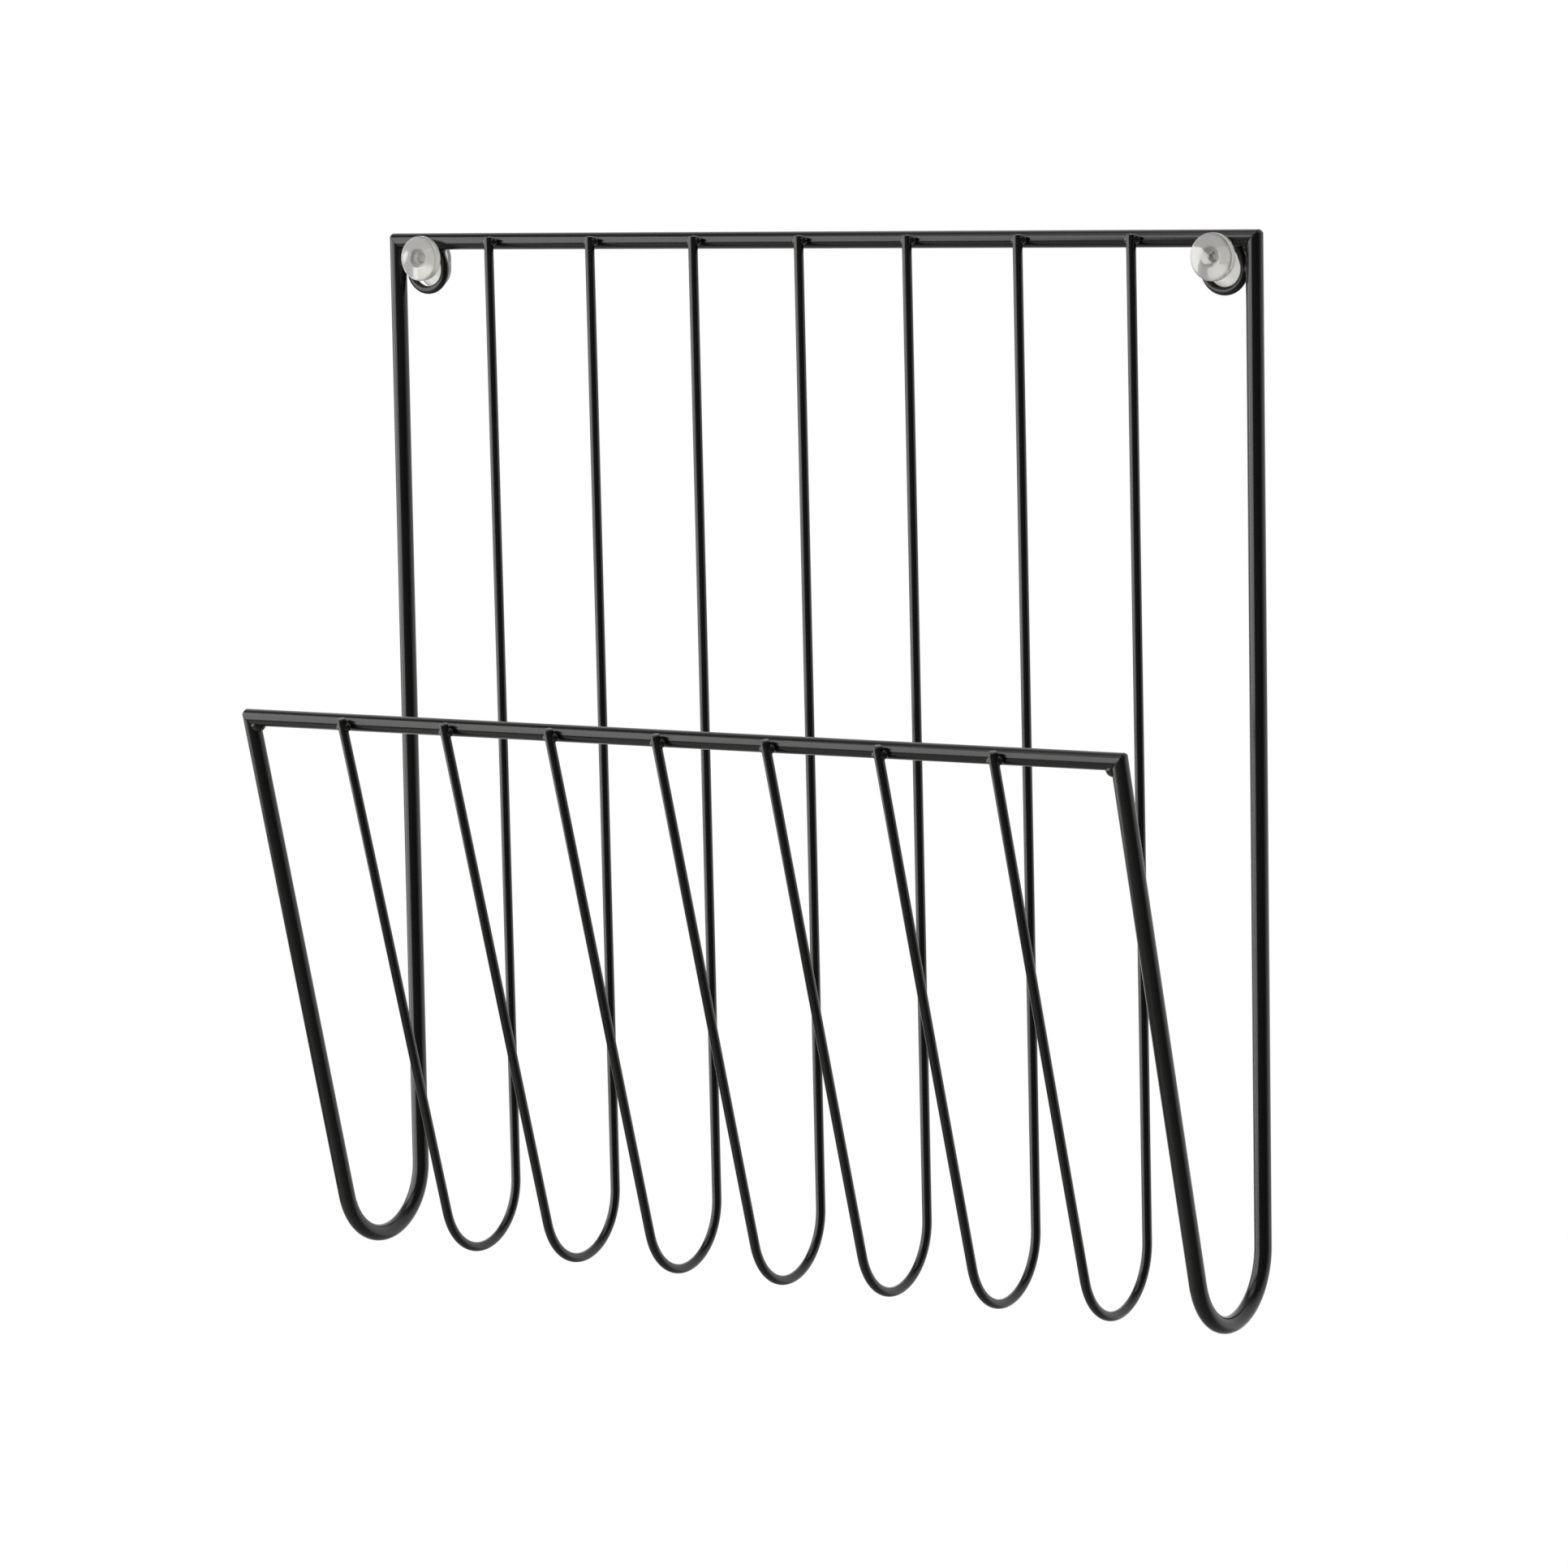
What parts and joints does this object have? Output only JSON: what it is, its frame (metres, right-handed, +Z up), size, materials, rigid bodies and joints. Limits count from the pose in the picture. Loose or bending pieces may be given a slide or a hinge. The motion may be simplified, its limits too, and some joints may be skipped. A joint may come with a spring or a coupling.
{
  "type": "wall magazine rack",
  "caption": "Wall magazine rack welded from black bent rods and wires into an open leaning pocket, hung by corner eyes on clear plastic wall bushes.",
  "frame": {"origin": "on the wall, midway between the two screw holes", "axes": "+X to the viewer's right, +Y into the wall along the screws, +Z up"},
  "size_m": [0.36, 0.106, 0.368],
  "materials": {
    "black_powder_coat": "black semi-gloss powder coat on bent steel rod and wire",
    "clear_plastic": "clear moulded plastic, slightly cloudy"
  },
  "bodies": {
    "wall_fittings": {"left_wall_bush": "clear_plastic", "right_wall_bush": "clear_plastic", "left_spacer_plate": "clear_plastic", "right_spacer_plate": "clear_plastic"},
    "rack": {"left_side_rod": "black_powder_coat", "right_side_rod": "black_powder_coat", "top_rail": "black_powder_coat", "front_rail": "black_powder_coat", "wire_1": "black_powder_coat", "wire_2": "black_powder_coat", "wire_3": "black_powder_coat", "wire_4": "black_powder_coat", "wire_5": "black_powder_coat", "wire_6": "black_powder_coat", "wire_7": "black_powder_coat", "left_hanging_eye": "black_powder_coat", "right_hanging_eye": "black_powder_coat", "top_rail_welds": "black_powder_coat", "front_rail_welds": "black_powder_coat", "corner_welds": "black_powder_coat", "eye_welds": "black_powder_coat"}
  },
  "joints": [
    {"name": "rack_lift", "type": "slide", "parent": "wall_fittings", "child": "rack", "axis": [0, 0, 1], "range_m": [0, 0.0067]}
  ]
}
